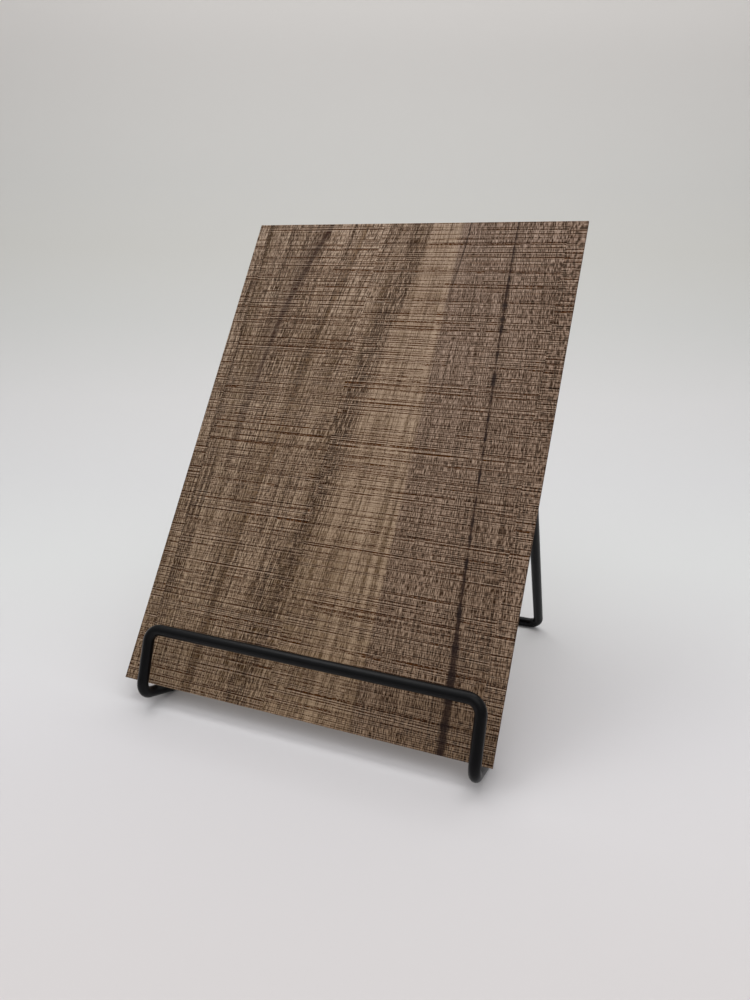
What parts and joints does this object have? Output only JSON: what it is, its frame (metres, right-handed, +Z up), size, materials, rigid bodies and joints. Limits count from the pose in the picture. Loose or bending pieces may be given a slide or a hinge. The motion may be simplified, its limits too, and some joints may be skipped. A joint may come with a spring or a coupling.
{
  "type": "wood-look wall panel",
  "caption": "Thin printed wood-look wall panel leaning on a black bent-wire rack that holds it by its lower edge and back.",
  "frame": {"origin": "on the floor, under the middle of the whole part", "axes": "+Z up, +Y away from the front, so that the printed face looks towards -Y and up; +X to the right as seen from the front"},
  "size_m": [0.21, 0.1942, 0.2587],
  "materials": {
    "printed_wood_face": "matte walnut print with dark cross saw marks",
    "black_coated_wire": "satin black powder coat"
  },
  "bodies": {
    "root": {"wood_look_panel": "printed_wood_face", "wire_rack": "black_coated_wire"}
  },
  "joints": []
}
